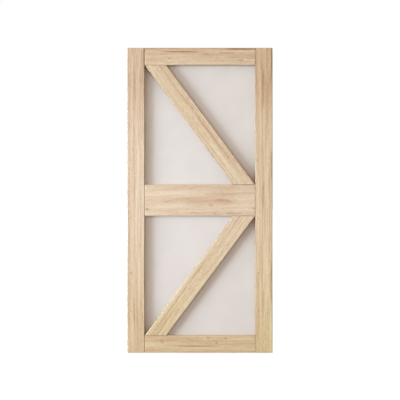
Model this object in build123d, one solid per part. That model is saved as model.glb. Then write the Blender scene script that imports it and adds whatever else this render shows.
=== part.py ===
from build123d import *

import os
from math import sqrt

# A barn door leaf: an oak frame of two stiles and three rails round two frosted panes, with a
# diagonal brace planted on both faces of each pane.  The braces run from the left-hand corners
# to the right-hand end of the middle rail, so each face reads as an arrow.
# The leaf hangs by its top edge.  Origin: middle of the top edge.  +X to the right as seen from
# the front, +Z up, the front face looks along -Y.  Millimetres.

# Leaf
door_width = 1016.0
door_height = 2134.0
door_thickness = 45.0

# Boards
stile_width = 121.0
end_rail_height = 121.0
middle_rail_height = 219.0
brace_width = 122.0
arris_radius = 4.0

# Panes, and the groove in the frame that holds their edges
pane_thickness = 5.0
pane_edge_cover = 12.0
pane_edge_clearance = 2.0
pane_face_clearance = 0.3
brace_pane_clearance = 0.3

# Stub tenons on the rail ends, which share the pane groove of the stiles
tenon_cheek_clearance = 0.1
tenon_end_clearance = 0.5

# Groove under the leaf for the fin of a floor guide
guide_groove_width = 8.0
guide_groove_depth = 20.0

# Sizes that follow from the ones above
groove_width = pane_thickness + 2 * pane_face_clearance
groove_depth = pane_edge_cover + pane_edge_clearance
tenon_thickness = groove_width - 2 * tenon_cheek_clearance
tenon_length = groove_depth - tenon_end_clearance
opening_width = door_width - 2 * stile_width
opening_height = (door_height - 2 * end_rail_height - middle_rail_height) / 2
brace_thickness = (door_thickness - pane_thickness) / 2 - brace_pane_clearance

# Heights of the rails' edges, from the top edge of the leaf down
top_rail_bottom = -end_rail_height
middle_rail_top = top_rail_bottom - opening_height
middle_rail_bottom = middle_rail_top - middle_rail_height
bottom_rail_top = middle_rail_bottom - opening_height
door_bottom = -door_height

LEFT, RIGHT = -1, 1
FRONT, BACK = -1, 1


def block(x_span, y_span, z_span):
    """A box between two X values, two Y values and two Z values, given in either order."""
    (x0, x1), (y0, y1), (z0, z1) = sorted(x_span), sorted(y_span), sorted(z_span)
    return Pos(x0, y0, z0) * Box(x1 - x0, y1 - y0, z1 - z0, align=Align.MIN)


def centred(width):
    """The span of a width that lies evenly on both sides of zero."""
    return (-width / 2, width / 2)


def eased_board(x_span, z_span):
    """A board of the leaf's full thickness with every arris rounded over."""
    board = block(x_span, centred(door_thickness), z_span)
    return fillet(board.edges(), arris_radius)


def guide_groove():
    """The slot that runs under the whole width of the leaf."""
    return block(
        centred(door_width),
        centred(guide_groove_width),
        (door_bottom, door_bottom + guide_groove_depth),
    )


def stile(side):
    """An upright, grooved along its inner edge for the panes and the rails' tenons."""
    inner = side * opening_width / 2
    outer = side * door_width / 2
    board = eased_board((inner, outer), (door_bottom, 0))
    groove = block(
        (inner, inner + side * groove_depth), centred(groove_width), (door_bottom, 0)
    )
    return board - groove - guide_groove()


def rail(bottom, top, pane_below=False, pane_above=False):
    """A cross board between the stiles, grooved along each edge that holds a pane.

    A stub tenon on each end fills the stile's groove, cut back where a pane's corner lies there.
    """
    board = eased_board(centred(opening_width), (bottom, top))
    tenon_bottom = bottom + groove_depth * pane_below
    tenon_top = top - groove_depth * pane_above
    board += block(
        centred(opening_width + 2 * tenon_length),
        centred(tenon_thickness),
        (tenon_bottom, tenon_top),
    )
    if pane_below:
        board -= block(centred(opening_width), centred(groove_width), (bottom, tenon_bottom))
    if pane_above:
        board -= block(centred(opening_width), centred(groove_width), (tenon_top, top))
    return board


def pane(bottom, top):
    """A frosted pane standing on the floor of the groove below it, with play at its other edges."""
    return block(
        centred(opening_width + 2 * pane_edge_cover),
        centred(pane_thickness),
        (bottom - groove_depth, top + pane_edge_cover),
    )


def brace_foot():
    """Length of the level cut on a brace's end.

    The brace is a strip of brace_width whose long edges each pass through one of two opposite
    corners of the opening.  The strip's width is foot * height / hypot(width - foot, height), a
    quadratic in the foot, and this is its positive root.
    """
    width_squared = brace_width**2
    height_squared = opening_height**2
    lead = height_squared - width_squared
    half_linear = width_squared * opening_width
    constant = width_squared * (opening_width**2 + height_squared)
    return (sqrt(half_linear**2 + lead * constant) - half_linear) / lead


def brace(face, outer, inner):
    """A diagonal on one face of a pane, from the left of its outer rail to the right of the middle.

    outer and inner are the heights of those two rails' edges.  Its ends are cut level to butt on
    the rails, and its face lies flush with theirs.
    """
    left, right = centred(opening_width)
    foot = brace_foot()
    corners = [(left, outer), (left + foot, outer), (right, inner), (right - foot, inner)]
    outline = make_face(Polyline(*[(x, 0, z) for x, z in corners], close=True))
    face_plane = face * door_thickness / 2
    pane_side = face_plane - face * brace_thickness
    strip = extrude(
        Pos(0, pane_side, 0) * outline, amount=brace_thickness, dir=(0, face, 0)
    )
    shown = strip.faces().sort_by(Axis.Y)[-1 if face == BACK else 0]
    return fillet(shown.edges(), arris_radius)


def leaf():
    """Every piece of the leaf by name."""
    pieces = {
        "left_stile": stile(LEFT),
        "right_stile": stile(RIGHT),
        "top_rail": rail(top_rail_bottom, 0, pane_below=True),
        "middle_rail": rail(middle_rail_bottom, middle_rail_top, pane_below=True, pane_above=True),
        "bottom_rail": rail(door_bottom, bottom_rail_top, pane_above=True) - guide_groove(),
        "upper_pane": pane(middle_rail_top, top_rail_bottom),
        "lower_pane": pane(bottom_rail_top, middle_rail_bottom),
    }
    for face_name, face in (("front", FRONT), ("back", BACK)):
        pieces[f"{face_name}_upper_brace"] = brace(face, top_rail_bottom, middle_rail_top)
        pieces[f"{face_name}_lower_brace"] = brace(face, bottom_rail_top, middle_rail_bottom)
    return pieces


os.makedirs("parts", exist_ok=True)
for name, piece in leaf().items():
    export_step(piece, f"parts/{name}.step")
    print(f"{name}: {piece.volume / 1e6:.3f} litres")
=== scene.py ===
import bpy
import numpy as np
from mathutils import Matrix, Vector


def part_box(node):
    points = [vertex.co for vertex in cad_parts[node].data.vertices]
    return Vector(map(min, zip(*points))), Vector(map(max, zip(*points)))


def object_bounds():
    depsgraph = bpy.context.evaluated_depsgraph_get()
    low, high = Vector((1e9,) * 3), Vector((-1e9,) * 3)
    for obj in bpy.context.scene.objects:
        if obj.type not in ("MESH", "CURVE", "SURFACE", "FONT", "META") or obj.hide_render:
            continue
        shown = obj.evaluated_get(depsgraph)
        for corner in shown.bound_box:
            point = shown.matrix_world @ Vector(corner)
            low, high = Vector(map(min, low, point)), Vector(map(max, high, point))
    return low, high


# Looks of a braced barn door leaf: light oak boards round two frosted panes.
# Metres, in the leaf's own frame: origin in the middle of the top edge, front face towards -Y, +Z up.

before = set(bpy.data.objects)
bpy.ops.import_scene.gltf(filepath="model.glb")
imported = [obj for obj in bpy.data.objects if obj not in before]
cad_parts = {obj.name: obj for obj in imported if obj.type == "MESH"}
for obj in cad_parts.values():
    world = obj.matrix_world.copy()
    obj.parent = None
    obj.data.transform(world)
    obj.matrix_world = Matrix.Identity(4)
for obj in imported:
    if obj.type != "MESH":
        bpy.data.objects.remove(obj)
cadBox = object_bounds()
leafLow, leafHigh = np.array(cadBox[0]), np.array(cadBox[1])
leafMiddle = (leafLow + leafHigh) / 2
whiteColor = (1.0, 1.0, 1.0, 1.0)
print("frame: %d solids, leaf %.3f x %.3f x %.3f m" % (len(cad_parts), *(leafHigh - leafLow)))


# Node helpers: a feed is either a socket to link from or a value to set

def put(tree, kind, feeds=None, **settings):
    made = tree.nodes.new("ShaderNode" + kind)
    for name, value in settings.items():
        setattr(made, name, value)
    for name, value in (feeds or {}).items():
        if isinstance(value, bpy.types.NodeSocket):
            tree.links.new(value, made.inputs[name])
        else:
            made.inputs[name].default_value = value
    return made


def calc(tree, operation, *feeds):
    return put(tree, "Math", dict(enumerate(feeds)), operation=operation).outputs[0]


def vecCalc(tree, operation, *feeds):
    return put(tree, "VectorMath", dict(enumerate(feeds)), operation=operation).outputs[0]


def vecLength(tree, vector):
    return put(tree, "VectorMath", {0: vector}, operation="LENGTH").outputs["Value"]


def xyz(tree, vector):
    return put(tree, "SeparateXYZ", {0: vector}).outputs


def addUp(tree, first, *others):
    total = first
    for other in others:
        total = calc(tree, "ADD", total, other)
    return total


def clip(tree, value):  # kept between 0 and 1
    return put(tree, "Clamp", {"Value": value}).outputs[0]


def step(tree, value, start, end):  # 0 at start, 1 at end, smooth between
    feeds = {"Value": value, "From Min": start, "From Max": end}
    return put(tree, "MapRange", feeds, interpolation_type="SMOOTHSTEP").outputs[0]


def blend(tree, share, first, second):  # first colour where share is 0, second where it is 1
    return put(tree, "Mix", {0: share, 6: first, 7: second}, data_type="RGBA").outputs[2]


def tinted(tree, share, color, tint):  # the colour, multiplied by the tint where share is 1
    feeds = {0: share, 6: color, 7: tint}
    return put(tree, "Mix", feeds, data_type="RGBA", blend_type="MULTIPLY").outputs[2]


def swing(tree, value, size):  # a value round 0.5 becomes one round 0, size times as large
    return calc(tree, "MULTIPLY_ADD", value, size, -size / 2)


def shiftBy(tree, tint, size):  # a noise's colour becomes a shift of this size across and through the board
    centred = vecCalc(tree, "SUBTRACT", tint, (0.5, 0.5, 0.5))
    return vecCalc(tree, "MULTIPLY", centred, (size, size, 0.0))


def drawnNoise(tree, point, seed, cells):  # noise in cells drawn out along Z
    layer, across, along, detail = cells
    cell = vecCalc(tree, "DIVIDE", point, (across, across, along))
    feeds = {"Vector": cell, "W": calc(tree, "ADD", seed, layer), "Scale": 1.0, "Detail": detail}
    return put(tree, "TexNoise", feeds, noise_dimensions="4D").outputs


def newGroup(name, takes, gives):  # a shader group; each input's kind follows from its starting value
    tree = bpy.data.node_groups.new(name, "ShaderNodeTree")
    for label, start in takes.items():
        kind = "Float" if isinstance(start, float) else ("Vector" if len(start) == 3 else "Color")
        socket = tree.interface.new_socket(label, in_out="INPUT", socket_type="NodeSocket" + kind)
        socket.default_value = start
    for label, kind in gives.items():
        tree.interface.new_socket(label, in_out="OUTPUT", socket_type="NodeSocket" + kind)
    return tree, tree.nodes.new("NodeGroupInput").outputs, tree.nodes.new("NodeGroupOutput").inputs


def useGroup(tree, group, feeds):
    return put(tree, "Group", feeds, node_tree=group).outputs


def newMaterial(name):
    material = bpy.data.materials.new(name)
    material.use_nodes = True
    return material, material.node_tree, material.node_tree.nodes["Principled BSDF"]


def dress(node, material):
    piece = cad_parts[node]
    piece.data.materials.clear()
    piece.data.materials.append(material)


# Oak as solid timber. Board runs along Z, its width is X and its thickness Y, from the board's own middle.
# Years are the distance from the pith divided by the ring width, and the grain leans and wanders along it.
# Noises are (layer, cell across, cell along, detail). A cut is where one starts to show and shows in full.

grainLook = {
    "wander": (0.0, 0.30, 0.60, 2.0), "wanderBy": 0.030,
    "ripple": (0.1, 0.03, 0.14, 2.0), "rippleBy": 0.004,
    "yearPace": 0.37, "yearSwing": 2.2, "lateStart": (0.2, 0.85), "lateEnd": (1.0, 0.94),
    "lateTone": 0.06, "lateSpan": 0.30, "restTone": 0.32,
    "bands": (0.2, 0.036, 1.5, 2.0), "bandTone": 2.0,
    "lines": (0.3, 0.011, 0.65, 2.0), "lineTone": 1.75,
    "threads": (0.4, 0.005, 0.14, 2.0), "threadTone": 1.15,
    "fibre": (0.5, 0.0022, 0.028, 3.0), "fibreTone": 1.5, "fibreHeight": 0.35,
    "darts": (0.6, 0.008, 0.22, 2.0), "dartCut": (0.62, 0.74), "dartTone": 0.4,
    "pores": (0.7, 0.0011, 0.022, 1.0), "poreCut": (0.58, 0.72), "poreDark": 0.40,
    "rays": (0.8, 0.003, 0.045, 1.0), "rayCut": (0.64, 0.74), "rayDark": 0.35,
    "arrisDepth": (0.0001, 0.0014), "lipDepth": (0.016, 0.006), "recess": (0.02, 0.05),
    "endDepth": (0.0015, 0.0003), "endStain": 0.35,
    "rough": 0.48, "poreRough": 0.14, "fibreRough": 0.12, "shadeAndStainRough": 0.4,
}


def makeOakGrain():
    look = grainLook
    tree, take, give = newGroup(
        "oakGrain",
        {
            "Board": (0.0, 0.0, 0.0),
            "Pith": (0.3, 0.08, 0.0),
            "Lean": (0.0, 0.0, 0.0),
            "Half": (0.06, 0.0225, 1.0),
            "Inward": 0.0,
            "Ring": 0.003,
            "Seed": 0.0,
            "Tone": 0.0,
            "Figure": 1.0,
            "EdgeShadeShare": 0.9,
            "Fleck": 1.0,
            "Pale": (0.7, 0.5, 0.3, 1.0),
            "Warm": (0.5, 0.35, 0.2, 1.0),
            "Deep": (0.3, 0.2, 0.1, 1.0),
            "ShadeColor": (0.2, 0.15, 0.1, 1.0),
        },
        {"Color": "Color", "Roughness": "Float", "Height": "Float"},
    )
    board, seed = take["Board"], take["Seed"]
    along = xyz(tree, board)[2]
    leaning = put(tree, "VectorMath", {0: take["Lean"], "Scale": along}, operation="SCALE").outputs[0]
    wander = shiftBy(tree, drawnNoise(tree, board, seed, look["wander"])[1], look["wanderBy"])
    ripple = shiftBy(tree, drawnNoise(tree, board, seed, look["ripple"])[1], look["rippleBy"])
    upright = vecCalc(tree, "SUBTRACT", vecCalc(tree, "ADD", board, wander), leaning)
    grain = vecCalc(tree, "ADD", upright, ripple)
    # Growth rings: late wood darkens through the year, and some years grow darker than others
    fromPith = vecCalc(tree, "MULTIPLY", vecCalc(tree, "SUBTRACT", grain, take["Pith"]), (1.0, 1.0, 0.0))
    evenYears = calc(tree, "DIVIDE", vecLength(tree, fromPith), take["Ring"])
    pace = calc(tree, "MULTIPLY", evenYears, look["yearPace"])
    slow = put(tree, "TexNoise", {"W": pace}, noise_dimensions="1D").outputs[0]
    years = addUp(tree, evenYears, swing(tree, slow, look["yearSwing"]), seed)
    season = calc(tree, "FRACT", years)
    darkening = step(tree, season, *look["lateStart"])
    late = calc(tree, "MULTIPLY", darkening, step(tree, season, *look["lateEnd"]))
    growth = put(tree, "TexWhiteNoise", {"W": calc(tree, "FLOOR", years)}, noise_dimensions="1D").outputs[0]
    yearTone = calc(tree, "MULTIPLY_ADD", growth, look["lateSpan"], look["lateTone"])
    lateTone = calc(tree, "MULTIPLY", late, yearTone)
    # Streaks of four widths, and a sparse dark one
    bands = swing(tree, drawnNoise(tree, grain, seed, look["bands"])[0], look["bandTone"])
    lines = swing(tree, drawnNoise(tree, grain, seed, look["lines"])[0], look["lineTone"])
    threads = swing(tree, drawnNoise(tree, grain, seed, look["threads"])[0], look["threadTone"])
    fibre = drawnNoise(tree, grain, seed, look["fibre"])[0]
    darts = step(tree, drawnNoise(tree, grain, seed, look["darts"])[0], *look["dartCut"])
    streaked = addUp(tree, bands, lines, threads, calc(tree, "MULTIPLY", darts, look["dartTone"]))
    figured = calc(tree, "MULTIPLY_ADD", streaked, take["Figure"], look["restTone"])
    flecked = calc(tree, "MULTIPLY", swing(tree, fibre, look["fibreTone"]), take["Fleck"])
    tone = addUp(tree, figured, lateTone, flecked, take["Tone"])
    clear = blend(tree, clip(tree, tone), take["Pale"], take["Warm"])
    toned = blend(tree, clip(tree, calc(tree, "SUBTRACT", tone, 1.0)), clear, take["Deep"])
    # Open pores lie in the early wood; rays are short dark flecks
    dashes = step(tree, drawnNoise(tree, grain, seed, look["pores"])[0], *look["poreCut"])
    pores = calc(tree, "MULTIPLY", dashes, calc(tree, "SUBTRACT", 1.0, late))
    rays = step(tree, drawnNoise(tree, grain, seed, look["rays"])[0], *look["rayCut"])
    poreDark = calc(tree, "MULTIPLY", pores, look["poreDark"])
    rayDark = calc(tree, "MULTIPLY", rays, look["rayDark"])
    grained = blend(tree, clip(tree, calc(tree, "ADD", poreDark, rayDark)), toned, take["Deep"])
    # Painted shade darkens the arrises, the sides just below the faces and the recess sides down to the panes;
    # end grain takes a real darker stain
    inset = vecCalc(tree, "SUBTRACT", take["Half"], vecCalc(tree, "ABSOLUTE", board))
    _, below, fromEnd = xyz(tree, inset)
    inRecess = step(tree, take["Inward"], *look["recess"])
    lip = calc(tree, "MAXIMUM", step(tree, below, *look["lipDepth"]), inRecess)
    arris = calc(tree, "MULTIPLY", step(tree, below, *look["arrisDepth"]), lip)
    endGrain = calc(tree, "MULTIPLY", step(tree, fromEnd, *look["endDepth"]), look["endStain"])
    shadeAndEndStain = calc(tree, "MAXIMUM", calc(tree, "MULTIPLY", arris, take["EdgeShadeShare"]), endGrain)
    tree.links.new(blend(tree, shadeAndEndStain, grained, take["ShadeColor"]), give["Color"])
    poreRough = calc(tree, "MULTIPLY_ADD", pores, look["poreRough"], look["rough"])
    rough = calc(tree, "ADD", poreRough, swing(tree, fibre, look["fibreRough"]))
    tree.links.new(calc(tree, "MULTIPLY_ADD", shadeAndEndStain, look["shadeAndStainRough"], rough), give["Roughness"])
    raised = calc(tree, "MULTIPLY", fibre, look["fibreHeight"])
    tree.links.new(calc(tree, "SUBTRACT", raised, pores), give["Height"])
    return tree


# A streak along the grain: 1 on its middle line, falling to 0 at its half width and towards its ends

streakLook = {
    "bend": (0.0, 0.15, 0.22, 2.0), "bendBy": 0.016,
    "threads": (0.1, 0.004, 0.15, 2.0), "threadCut": (0.2, 0.55),
    "sideCut": (1.0, 0.0), "endCut": (1.0, 0.35),
}


def makeGrainStreak():
    look = streakLook
    tree, take, give = newGroup(
        "grainStreak",
        {"Board": (0.0, 0.0, 0.0), "Middle": (0.0, 0.0, 0.0), "Reach": (0.01, 1.0, 0.2), "Seed": 0.0},
        {"Mask": "Float"},
    )
    board, seed = take["Board"], take["Seed"]
    bend = shiftBy(tree, drawnNoise(tree, board, seed, look["bend"])[1], look["bendBy"])
    place = vecCalc(tree, "SUBTRACT", vecCalc(tree, "ADD", board, bend), take["Middle"])
    share = vecCalc(tree, "ABSOLUTE", vecCalc(tree, "DIVIDE", place, take["Reach"]))
    acrossShare, _, alongShare = xyz(tree, share)
    sides = step(tree, acrossShare, *look["sideCut"])
    soft = calc(tree, "MULTIPLY", sides, step(tree, alongShare, *look["endCut"]))
    threads = step(tree, drawnNoise(tree, board, seed, look["threads"])[0], *look["threadCut"])
    tree.links.new(calc(tree, "MULTIPLY", soft, threads), give["Mask"])
    return tree


# A pin knot through the board: an upright oval of dark rings, with the grain swerving round it.
# Aside is how far across the grain is looked up: minus the offset times swerve times e to the power
# -(r / swerveReach) squared.

knotLook = {
    "wide": 1.4, "tall": 2.1, "tone": 0.75, "edgeCut": (1.4, 0.3), "rings": 16.0, "ringSwing": 0.15,
    "swerve": 0.9, "swerveReach": 2.4,
}


def makePinKnot():
    look = knotLook
    tree, take, give = newGroup(
        "pinKnot",
        {"Board": (0.0, 0.0, 0.0), "Middle": (0.0, 0.0, 0.0), "Reach": (0.005, 1.0, 0.008)},
        {"Mask": "Float", "Aside": "Float"},
    )
    offset = vecCalc(tree, "SUBTRACT", take["Board"], take["Middle"])
    place = vecCalc(tree, "MULTIPLY", offset, (1.0, 0.0, 1.0))
    reach = vecLength(tree, vecCalc(tree, "DIVIDE", place, take["Reach"]))
    wave = calc(tree, "SINE", calc(tree, "MULTIPLY", reach, look["rings"]))
    rings = calc(tree, "MULTIPLY_ADD", wave, look["ringSwing"], 1 - look["ringSwing"])
    tree.links.new(calc(tree, "MULTIPLY", step(tree, reach, *look["edgeCut"]), rings), give["Mask"])
    squared = calc(tree, "MULTIPLY", reach, reach)
    swerve = calc(tree, "EXPONENT", calc(tree, "MULTIPLY", squared, -1 / look["swerveReach"] ** 2))
    swerved = calc(tree, "MULTIPLY", xyz(tree, place)[0], swerve)
    tree.links.new(calc(tree, "MULTIPLY", swerved, -look["swerve"]), give["Aside"])
    return tree


oakGrain = makeOakGrain()
grainStreak = makeGrainStreak()
pinKnot = makePinKnot()

oak = {
    "pale": (0.752, 0.616, 0.430, 1.0),
    "warm": (0.556, 0.374, 0.226, 1.0),
    "deep": (0.287, 0.149, 0.063, 1.0),
    "edgeShadeColor": (0.225, 0.145, 0.085, 1.0),  # painted shade on the edges and the recess sides
    # The yellow tint and each board's gold paint sheen: the wood is paler where the lamps' sheen falls on the
    # lit middle, and yellower towards the foot.
    "sheenlessYellow": (1.0, 1.0, 0.91, 1.0),
    "sheenlessHeight": (1.0, 0.1),  # above the foot: where the yellowing starts, and where it is full
    "poreDepth": 0.00025,
    "poreStrength": 0.5,
    "sheen": 0.12,
}

# Pith and lean are (across, through) the board. Figure, edge shade and fleck scale the streaks, the painted
# shade on the edges and the fibre; gold, painted sheen, is how much yellower a board is than the others.
# Streaks are (across, along, half width, half length, strength) from the board's middle, a pale one negative.
# Besides the grain they hold painted shade: those as wide as the board darken the leaf's head and foot away
# from its lit middle.
# Knots are (across, along, half width).

leftStile = {
    "node": "left_stile", "lies": "upright", "pith": (0.34, 0.11), "lean": (0.002, 0.01),
    "ring": 0.003, "seed": 1.7, "figure": 0.8, "sheenlessGold": -0.05, "edgeShade": 0.76, "fleck": 1.0,
    "streaks": [
        (0.0, 1.05, 0.15, 0.5, 0.44), (0.0, 0.05, 0.15, 0.75, -0.15), (0.0, -1.0, 0.15, 0.5, 0.26),
        (-0.051, -0.9, 0.011, 0.45, 0.28),
        (-0.05, 0.1, 0.008, 1.3, 0.35), (-0.015, 0.2, 0.009, 1.2, 0.35), (0.034, -0.2, 0.01, 1.3, 0.3),
        (-0.009, 0.81, 0.006, 0.13, 0.8), (-0.009, 0.03, 0.006, 0.12, 0.6),
        (-0.009, -0.775, 0.006, 0.13, 0.8),
        (0.055, 0.98, 0.006, 0.1, 0.6), (0.056, 0.27, 0.005, 0.06, 0.4), (0.056, -0.56, 0.006, 0.14, 0.5),
        (0.022, 0.9, 0.012, 0.25, -0.4), (0.022, 0.25, 0.013, 0.2, -0.35), (0.024, -0.55, 0.014, 0.2, -0.4),
    ],
    "knots": [
        (-0.037, 0.28, 0.003), (-0.037, -0.125, 0.005), (-0.037, -0.51, 0.005), (-0.035, -0.775, 0.003),
    ],
}
rightStile = {
    "node": "right_stile", "lies": "upright", "pith": (-0.4, 0.12), "lean": (-0.002, 0.01),
    "ring": 0.0028, "seed": 5.2, "figure": 0.8, "sheenlessGold": 0.03, "edgeShade": 0.92, "fleck": 1.0,
    "streaks": [
        # The thin dark streaks along the outer edge, at 0.053 and 0.054 across, paint the shade on that edge,
        # which faces away from the lamps
        (0.0, 1.05, 0.15, 0.6, 0.64), (0.0, -0.45, 0.15, 0.55, -0.13), (0.054, 0.0, 0.008, 2.0, 0.5),
        (-0.049, 0.0, 0.009, 1.3, 0.35), (-0.01, 0.1, 0.008, 1.2, 0.35), (0.035, -0.1, 0.009, 1.3, 0.3),
        (-0.006, 0.78, 0.006, 0.15, 0.7), (-0.006, 0.03, 0.006, 0.13, 0.75),
        (-0.006, -0.74, 0.009, 0.17, 0.8),
        (0.053, 1.04, 0.01, 0.24, 1.0), (0.053, 0.24, 0.009, 0.14, 1.1), (0.053, -0.57, 0.009, 0.2, 1.1),
        (0.02, 0.85, 0.01, 0.15, -0.3), (0.022, 0.25, 0.013, 0.2, -0.4), (0.024, -0.52, 0.014, 0.2, -0.5),
    ],
    "knots": [
        (-0.039, 0.28, 0.004), (-0.039, -0.125, 0.005), (-0.039, -0.51, 0.004), (-0.037, -0.775, 0.003),
    ],
}
topRail = {
    "node": "top_rail", "lies": "level", "pith": (0.3, 0.09), "lean": (0.01, 0.02),
    "ring": 0.0032, "seed": 9.4, "figure": 0.7, "sheenlessGold": 0.0, "edgeShade": 0.4, "fleck": 1.0,
    "streaks": [
        (0.0, -0.1, 0.15, 1.0, 0.34), (-0.062, 0.0, 0.045, 1.0, 0.4), (0.045, 0.0, 0.04, 1.0, -0.35),
        (-0.034, -0.12, 0.008, 0.19, 1.1), (-0.051, 0.28, 0.008, 0.14, 0.9),
        (-0.021, 0.19, 0.009, 0.07, 0.5),
        (-0.018, 0.035, 0.01, 0.035, 0.4),
    ],
    "knots": [(0.014, -0.213, 0.006), (0.026, 0.29, 0.005), (-0.004, -0.05, 0.003)],
}
middleRail = {
    "node": "middle_rail", "lies": "level", "pith": (0.42, 0.1), "lean": (-0.035, 0.03),
    "ring": 0.0034, "seed": 13.1, "figure": 0.5, "sheenlessGold": -0.04, "edgeShade": 0.28, "fleck": 1.0,
    "streaks": [
        (0.0, 0.08, 0.25, 0.24, 0.08), (0.0, 0.4, 0.25, 0.2, -0.2),
        (-0.045, -0.15, 0.034, 0.26, -0.45), (0.045, -0.2, 0.026, 0.2, -0.3), (0.0, -0.14, 0.022, 0.16, 0.2),
        (0.002, 0.06, 0.034, 0.22, 0.5), (0.002, 0.16, 0.018, 0.08, 0.45), (0.034, 0.077, 0.016, 0.022, 0.6),
        (0.079, -0.195, 0.005, 0.05, 0.6), (0.083, -0.04, 0.007, 0.04, 0.5), (0.09, 0.24, 0.006, 0.07, 0.9),
    ],
    "knots": [(0.062, -0.371, 0.007), (0.055, 0.374, 0.005), (0.093, 0.1, 0.005), (-0.099, 0.224, 0.004)],
}
bottomRail = {
    "node": "bottom_rail", "lies": "level", "pith": (-0.3, 0.1), "lean": (0.008, -0.02),
    "ring": 0.0031, "seed": 17.8, "figure": 0.8, "sheenlessGold": -0.01, "edgeShade": 0.4, "fleck": 1.0,
    "streaks": [
        (0.0, -0.05, 0.15, 0.8, 0.16),
        (-0.028, -0.2, 0.024, 0.26, 0.4), (0.012, -0.035, 0.007, 0.19, 0.7), (0.012, 0.02, 0.005, 0.12, 0.5),
        (-0.03, 0.14, 0.02, 0.12, 0.3),
    ],
    "knots": [
        (-0.021, -0.266, 0.006), (-0.042, 0.056, 0.005), (-0.011, 0.115, 0.006), (-0.042, 0.182, 0.004),
    ],
}
frontUpperBrace = {
    "node": "front_upper_brace", "lies": "falling", "pith": (-0.34, 0.1), "lean": (0.004, 0.01),
    "ring": 0.003, "seed": 22.3, "figure": 0.8, "sheenlessGold": 0.0, "edgeShade": 0.92, "fleck": 2.0,
    "streaks": [
        (-0.04, 0.0, 0.055, 0.9, 0.4), (0.056, 0.0, 0.016, 0.9, 0.3), (-0.056, 0.0, 0.016, 0.9, 0.3),
        (0.036, -0.2, 0.006, 0.5, 0.4), (0.055, -0.2, 0.008, 0.5, -0.15), (0.0, 0.36, 0.1, 0.3, -0.15),
        (-0.02, -0.1, 0.012, 0.6, 0.3), (0.016, 0.03, 0.007, 0.16, 0.5),
    ],
    "knots": [],
}
frontLowerBrace = {
    "node": "front_lower_brace", "lies": "rising", "pith": (0.36, 0.1), "lean": (-0.004, 0.01),
    "ring": 0.003, "seed": 26.9, "figure": 0.8, "sheenlessGold": -0.01, "edgeShade": 0.92, "fleck": 2.0,
    "streaks": [
        (0.0, 0.1, 0.15, 0.9, -0.12),
        (-0.03, -0.2, 0.007, 0.5, 0.45), (-0.052, -0.1, 0.009, 0.5, -0.4), (0.02, 0.1, 0.01, 0.6, 0.3),
    ],
    "knots": [],
}
backUpperBrace = {
    "node": "back_upper_brace", "lies": "falling", "pith": (0.32, -0.09), "lean": (0.004, -0.01),
    "ring": 0.0031, "seed": 31.5, "figure": 0.8, "sheenlessGold": 0.0, "edgeShade": 0.92, "fleck": 2.0,
    "streaks": [(0.01, 0.1, 0.01, 0.5, 0.4), (-0.03, -0.2, 0.007, 0.3, 0.4)],
    "knots": [(0.02, 0.22, 0.005)],
}
backLowerBrace = {
    "node": "back_lower_brace", "lies": "rising", "pith": (-0.33, -0.09), "lean": (0.004, 0.01),
    "ring": 0.0031, "seed": 36.2, "figure": 0.8, "sheenlessGold": -0.04, "edgeShade": 0.92, "fleck": 2.0,
    "streaks": [(-0.02, -0.1, 0.01, 0.5, 0.4), (0.035, 0.1, 0.007, 0.4, 0.35)],
    "knots": [(-0.01, -0.3, 0.004)],
}


def nodePoints(name):
    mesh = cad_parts[name].data
    points = np.empty(len(mesh.vertices) * 3)
    mesh.vertices.foreach_get("co", points)
    return points.reshape(-1, 3)


def boardTurn(board):  # the turn about Y that takes Z to the board's length
    if board["lies"] == "upright":
        return 0.0
    if board["lies"] == "level":
        return np.pi / 2
    points = nodePoints(board["node"])
    low, high = points.min(0), points.max(0)
    foot = np.ptp(points[points[:, 2] > high[2] - 1e-4, 0])  # length of the level cut on its upper end
    run, rise = high[0] - low[0] - foot, high[2] - low[2]
    return np.arctan2(run, -rise if board["lies"] == "falling" else rise)


def boardHalf(board, turn):  # half its width, thickness and length; a brace's slanting ends lie further in
    points = nodePoints(board["node"])
    span = np.ptp(points, axis=0) / 2
    if board["lies"] == "upright":
        return span
    if board["lies"] == "level":
        return span[[2, 1, 0]]
    across = points @ np.array([np.cos(turn), 0.0, -np.sin(turn)])
    return np.array([np.ptp(across) / 2, span[1], 2 * span[2]])


def addMarks(tree, board, boardSpace):  # tone of the streaks and knots, and the knots' push on the grain
    tone, aside = 0.0, 0.0
    for number, (across, along, halfWidth, halfLength, strength) in enumerate(board["streaks"]):
        feeds = {
            "Board": boardSpace, "Middle": (across, 0.0, along), "Reach": (halfWidth, 1.0, halfLength),
            "Seed": board["seed"] + number,
        }
        tone = calc(tree, "MULTIPLY_ADD", useGroup(tree, grainStreak, feeds)["Mask"], strength, tone)
    for across, along, halfWidth in board["knots"]:
        reach = (knotLook["wide"] * halfWidth, 1.0, knotLook["tall"] * halfWidth)
        knot = useGroup(tree, pinKnot, {"Board": boardSpace, "Middle": (across, 0.0, along), "Reach": reach})
        tone = calc(tree, "MULTIPLY_ADD", knot["Mask"], knotLook["tone"], tone)
        aside = calc(tree, "ADD", knot["Aside"], aside)
    return tone, put(tree, "CombineXYZ", {0: aside}).outputs[0]


def fromOutline(tree, point):  # distance in from the nearer of the leaf's sides, head and foot
    offset = vecCalc(tree, "ABSOLUTE", vecCalc(tree, "SUBTRACT", point, leafMiddle))
    sideways, _, upward = xyz(tree, vecCalc(tree, "SUBTRACT", (leafHigh - leafLow) / 2, offset))
    return calc(tree, "MINIMUM", sideways, upward)


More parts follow.
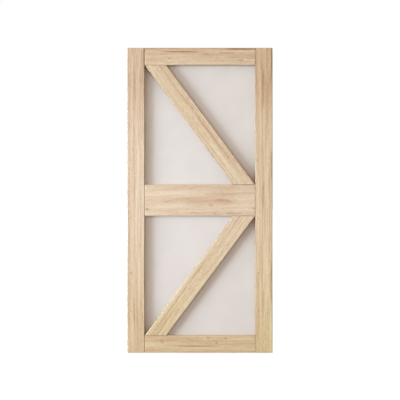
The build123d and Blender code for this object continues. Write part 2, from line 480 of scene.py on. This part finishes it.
def oakBoard(board):
    material, tree, shader = newMaterial("oak_" + board["node"])
    low, high = (np.array(corner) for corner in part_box(board["node"]))
    turn = boardTurn(board)
    object3d = put(tree, "TexCoord").outputs["Object"]
    place = {"Vector": object3d, "Location": (low + high) / 2, "Rotation": (0.0, turn, 0.0)}
    boardSpace = put(tree, "Mapping", place, vector_type="TEXTURE").outputs[0]
    tone, swerve = addMarks(tree, board, boardSpace)
    # A board's gold paints sheen: a board where more sheen falls is paler
    sheenlessGolden = np.array([1.0, 1.0, 1.0 - board["sheenlessGold"], 1.0])
    # The edge shade and its colour paint shade on the arrises and the recess sides; gold paints sheen
    feeds = {
        "Board": vecCalc(tree, "ADD", boardSpace, swerve), "Tone": tone, "Figure": board["figure"],
        "EdgeShadeShare": board["edgeShade"], "Fleck": board["fleck"], "Ring": board["ring"], "Seed": board["seed"],
        "Pith": (*board["pith"], 0.0), "Lean": (*board["lean"], 0.0), "Half": boardHalf(board, turn),
        "Inward": fromOutline(tree, object3d), "ShadeColor": oak["edgeShadeColor"],
        "Pale": oak["pale"] * sheenlessGolden, "Warm": oak["warm"] * sheenlessGolden, "Deep": oak["deep"] * sheenlessGolden,
    }
    grain = useGroup(tree, oakGrain, feeds)
    # Painted sheen: the wood turns yellower towards the foot, away from the lit middle
    height = xyz(tree, vecCalc(tree, "SUBTRACT", object3d, leafLow))[2]
    color = tinted(tree, step(tree, height, *oak["sheenlessHeight"]), grain["Color"], oak["sheenlessYellow"])
    feeds = {"Height": grain["Height"], "Distance": oak["poreDepth"], "Strength": oak["poreStrength"]}
    tree.links.new(color, shader.inputs["Base Color"])
    tree.links.new(grain["Roughness"], shader.inputs["Roughness"])
    tree.links.new(put(tree, "Bump", feeds).outputs[0], shader.inputs["Normal"])
    shader.inputs["Specular IOR Level"].default_value = oak["sheen"]
    dress(board["node"], material)


boards = [
    leftStile, rightStile, topRail, middleRail, bottomRail,
    frontUpperBrace, frontLowerBrace, backUpperBrace, backLowerBrace,
]
for board in boards:
    oakBoard(board)
print("oak: %d boards" % len(boards))

# Frosted panes: glass etched to a milky white, with a fine even tooth

pane = {
    "nodes": ("upper_pane", "lower_pane"),
    "milk": (0.762, 0.700, 0.644, 1.0), "cloud": (0.736, 0.677, 0.621, 1.0),
    "cloudSize": 0.2, "cloudCut": (0.35, 0.65),
    "see": 0.06, "bend": 1.5, "shine": 0.1, "rough": 0.48, "toothRough": 0.12,
    "tooth": 0.0006, "toothDepth": 0.00005, "toothStrength": 0.4,
    # The grime colour and its reach paint shade in the tight corners of stile and brace
    "cornerShade": (0.43, 0.37, 0.30, 1.0), "cornerShadeReach": 0.05,
}


def fromStile(tree, point):  # distance to the nearer stile
    aside = xyz(tree, vecCalc(tree, "SUBTRACT", point, leafMiddle))[0]
    return calc(tree, "SUBTRACT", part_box("right_stile")[0][0] - leafMiddle[0], calc(tree, "ABSOLUTE", aside))


def fromBrace(tree, point):  # distance to the edge of the nearer brace
    edges = []
    for board in (frontUpperBrace, frontLowerBrace):
        turn = boardTurn(board)
        across = (np.cos(turn), 0.0, -np.sin(turn))
        offset = vecCalc(tree, "SUBTRACT", point, np.mean(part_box(board["node"]), axis=0))
        aside = put(tree, "VectorMath", {0: offset, 1: across}, operation="DOT_PRODUCT").outputs["Value"]
        edges.append(calc(tree, "SUBTRACT", calc(tree, "ABSOLUTE", aside), boardHalf(board, turn)[0]))
    return calc(tree, "MINIMUM", *edges)


def frostedPanes():
    material, tree, shader = newMaterial("etched_glass")
    object3d = put(tree, "TexCoord").outputs["Object"]
    feeds = {"Vector": object3d, "Scale": 1 / pane["cloudSize"], "Detail": 3.0}
    cloud = step(tree, put(tree, "TexNoise", feeds).outputs[0], *pane["cloudCut"])
    feeds = {"Vector": object3d, "Scale": 1 / pane["tooth"], "Detail": 2.0}
    tooth = put(tree, "TexNoise", feeds).outputs[0]
    milky = blend(tree, cloud, pane["milk"], pane["cloud"])
    # Painted shade darkens the corners of stile and brace: e to the power -(the two distances' sum / reach)
    gap = calc(tree, "ADD", fromStile(tree, object3d), fromBrace(tree, object3d))
    tight = calc(tree, "EXPONENT", calc(tree, "MULTIPLY", gap, -1 / pane["cornerShadeReach"]))
    cornerShaded = tinted(tree, clip(tree, tight), milky, pane["cornerShade"])
    rough = calc(tree, "MULTIPLY_ADD", tooth, pane["toothRough"], pane["rough"])
    feeds = {"Height": tooth, "Distance": pane["toothDepth"], "Strength": pane["toothStrength"]}
    tree.links.new(cornerShaded, shader.inputs["Base Color"])
    tree.links.new(rough, shader.inputs["Roughness"])
    tree.links.new(put(tree, "Bump", feeds).outputs[0], shader.inputs["Normal"])
    shader.inputs["Transmission Weight"].default_value = pane["see"]
    shader.inputs["IOR"].default_value = pane["bend"]
    shader.inputs["Specular IOR Level"].default_value = pane["shine"]
    for node in pane["nodes"]:
        dress(node, material)


frostedPanes()
print("glass: %d panes" % len(pane["nodes"]))


def seenDirectly(tree):  # 1 for rays from the camera, from gloss and through glass
    rays = put(tree, "LightPath").outputs
    glossy = calc(tree, "MAXIMUM", rays["Is Glossy Ray"], rays["Is Transmission Ray"])
    return calc(tree, "MAXIMUM", rays["Is Camera Ray"], glossy)


# Floor: a flat disc, its points the products of a row of radii and a row of angles.
# It glows white where it is seen, and a share of it near the leaf is matt and takes the shadow.

floor = {
    "radius": 60.0, "rings": 16, "spokes": 64, "gap": 0.012, "matt": (0.4, 0.4, 0.4, 1.0), "glow": 1.25,
    "shadowShare": 0.25, "shadowReach": (9.0, 4.0),
}


def makeFloor():
    rings, spokes = floor["rings"], floor["spokes"]
    radii = np.linspace(0, 1, rings + 1)[1:] ** 2 * floor["radius"]
    angles = np.arange(spokes) * 2 * np.pi / spokes
    around = np.stack([np.cos(angles), np.sin(angles)], axis=1)
    flat = (radii[:, None, None] * around).reshape(-1, 2)
    height = leafLow[2] - floor["gap"]
    points = np.column_stack([flat, np.full(len(flat), height)])
    points = np.vstack([points, [0.0, 0.0, height]])
    ring, spoke = np.meshgrid(np.arange(rings - 1), np.arange(spokes), indexing="ij")
    following = (spoke + 1) % spokes
    start, onward = ring * spokes + spoke, ring * spokes + following
    quads = np.stack([start, start + spokes, onward + spokes, onward], axis=-1).reshape(-1, 4)
    hub = np.column_stack([np.arange(spokes), following[0], np.full(spokes, len(points) - 1)])
    mesh = bpy.data.meshes.new("floor")
    mesh.from_pydata(points.tolist(), [], quads.tolist() + hub.tolist())
    piece = bpy.data.objects.new("floor", mesh)
    bpy.context.scene.collection.objects.link(piece)
    material, tree, shader = newMaterial("white_floor")
    tree.nodes.remove(shader)
    reach = vecLength(tree, put(tree, "TexCoord").outputs["Object"])
    share = calc(tree, "MULTIPLY", step(tree, reach, *floor["shadowReach"]), floor["shadowShare"])
    matt = put(tree, "BsdfDiffuse", {"Color": floor["matt"]}).outputs[0]
    glowing = put(tree, "Emission", {"Color": whiteColor, "Strength": floor["glow"]}).outputs[0]
    shown = put(tree, "MixShader", {0: share, 1: glowing, 2: matt}).outputs[0]
    both = put(tree, "MixShader", {0: seenDirectly(tree), 1: matt, 2: shown}).outputs[0]
    tree.links.new(both, tree.nodes["Material Output"].inputs["Surface"])
    mesh.materials.append(material)


# Gauze: a flat upright sheet, the grid of two depths and two heights, close beside the leaf's left edge.
# It dims the low lamps on that edge and isn't seen.

gauze = {"aside": 0.03, "beforeFace": 0.002, "beyond": 0.05, "lets": 0.35}


def makeGauze():
    across = np.array([leafLow[1] - gauze["beforeFace"], leafHigh[1] + gauze["beyond"]])
    upward = np.array([leafLow[2] - floor["gap"], leafHigh[2] + gauze["beyond"]])
    depth, height = np.meshgrid(across, upward, indexing="ij")
    aside = np.full_like(depth, leafLow[0] - gauze["aside"])
    points = np.stack([aside, depth, height], axis=-1).reshape(-1, 3)
    mesh = bpy.data.meshes.new("gauze")
    mesh.from_pydata(points.tolist(), [], [[0, 1, 3, 2]])
    piece = bpy.data.objects.new("gauze", mesh)
    bpy.context.scene.collection.objects.link(piece)
    material, tree, shader = newMaterial("grey_gauze")
    tree.nodes.remove(shader)
    dimmed = (gauze["lets"], gauze["lets"], gauze["lets"], 1.0)
    passed = blend(tree, seenDirectly(tree), dimmed, whiteColor)
    thin = put(tree, "BsdfTransparent", {"Color": passed}).outputs[0]
    tree.links.new(thin, tree.nodes["Material Output"].inputs["Surface"])
    mesh.materials.append(material)


makeFloor()
makeGauze()
print("stage: floor and gauze")

# Light: a wide lamp and a narrow beam low across the face from the left, a high beam on that side, weak lamps
# above and at the right, and one for the back. The lamps are cool and the surround is warm.
# A lamp's place is from the leaf's middle, and it faces it.

surround = {"color": (1.23, 1.0, 0.79, 1.0), "strength": 0.61}
sideLamp = {
    "place": (-8.02, -1.705, 0.0), "width": 2.4, "height": 3.5, "spread": 180.0,
    "radiance": 18.0, "color": (0.80, 1.0, 1.25),
}
beamLamp = {
    "place": (-8.02, -1.705, 0.0), "width": 2.4, "height": 1.2, "spread": 50.0,
    "radiance": 155.8, "color": (0.85, 1.0, 1.17),
}
highLamp = {
    "place": (-7.10, -4.10, 4.0), "width": 2.4, "height": 1.2, "spread": 50.0,
    "radiance": 27.2, "color": (0.80, 1.0, 1.25),
}
topLamp = {
    "place": (-0.5, -0.6, 5.0), "width": 3.0, "height": 1.0, "spread": 180.0,
    "radiance": 5.1, "color": (0.80, 1.0, 1.25),
}
rightLamp = {
    "place": (7.5, -3.5, 0.0), "width": 2.4, "height": 3.5, "spread": 180.0,
    "radiance": 1.0, "color": (1.0, 1.0, 1.0),
}
backLamp = {
    "place": (3.0, 5.0, 0.8), "width": 2.4, "height": 2.4, "spread": 180.0,
    "radiance": 14.0, "color": (0.83, 1.0, 1.20),
}


def makeSurround():
    world = bpy.data.worlds.new("surround")
    bpy.context.scene.world = world
    world.use_nodes = True
    tree = world.node_tree
    lit = tree.nodes["Background"]
    lit.inputs["Color"].default_value = surround["color"]
    lit.inputs["Strength"].default_value = surround["strength"]
    plain = put(tree, "Background", {"Color": whiteColor, "Strength": 1.0}).outputs[0]
    both = put(tree, "MixShader", {0: seenDirectly(tree), 1: lit.outputs[0], 2: plain}).outputs[0]
    tree.links.new(both, tree.nodes["World Output"].inputs["Surface"])


def facing(away):  # turns a lamp, which shines along its -Z, from away towards the middle
    level = np.hypot(away[0], away[1])
    return (np.arctan2(level, away[2]), 0.0, np.arctan2(away[0], -away[1]))


def makeLamp(name, lamp):
    light = bpy.data.lights.new(name, "AREA")
    light.shape = "RECTANGLE"
    light.size, light.size_y = lamp["width"], lamp["height"]
    halfSpread = np.radians(lamp["spread"]) / 2  # a narrow spread pools the light on the middle
    light.spread = 2 * halfSpread
    kept = 1 - halfSpread / np.tan(halfSpread)  # share of the power that gives the same radiance
    light.energy = lamp["radiance"] * np.pi * lamp["width"] * lamp["height"] * kept
    light.color = lamp["color"]
    piece = bpy.data.objects.new(name, light)
    bpy.context.scene.collection.objects.link(piece)
    away = np.array(lamp["place"])
    piece.location = leafMiddle + away
    piece.rotation_euler = facing(away)
    piece.visible_glossy = False  # the finish mirrors only the white surround


makeSurround()
lamps = {
    "side_lamp": sideLamp, "beam_lamp": beamLamp, "high_lamp": highLamp, "top_lamp": topLamp,
    "right_lamp": rightLamp, "back_lamp": backLamp,
}
for name, lamp in lamps.items():
    makeLamp(name, lamp)
print("light: surround and %d lamps" % len(lamps))

# Camera: straight on, a touch above the leaf's middle

camera = {"lens": 50.0, "sensor": 36.0, "frameWidth": 2.797, "raise": 0.0019}


def makeCamera():
    data = bpy.data.cameras.new("camera")
    data.lens, data.sensor_width = camera["lens"], camera["sensor"]
    piece = bpy.data.objects.new("camera", data)
    bpy.context.scene.collection.objects.link(piece)
    distance = camera["frameWidth"] * camera["lens"] / camera["sensor"]
    piece.location = (leafMiddle[0], leafLow[1] - distance, leafMiddle[2] + camera["raise"])
    piece.rotation_euler = (np.pi / 2, 0.0, 0.0)
    bpy.context.scene.camera = piece


makeCamera()
bpy.context.scene.view_settings.view_transform = "Standard"
print("camera set")
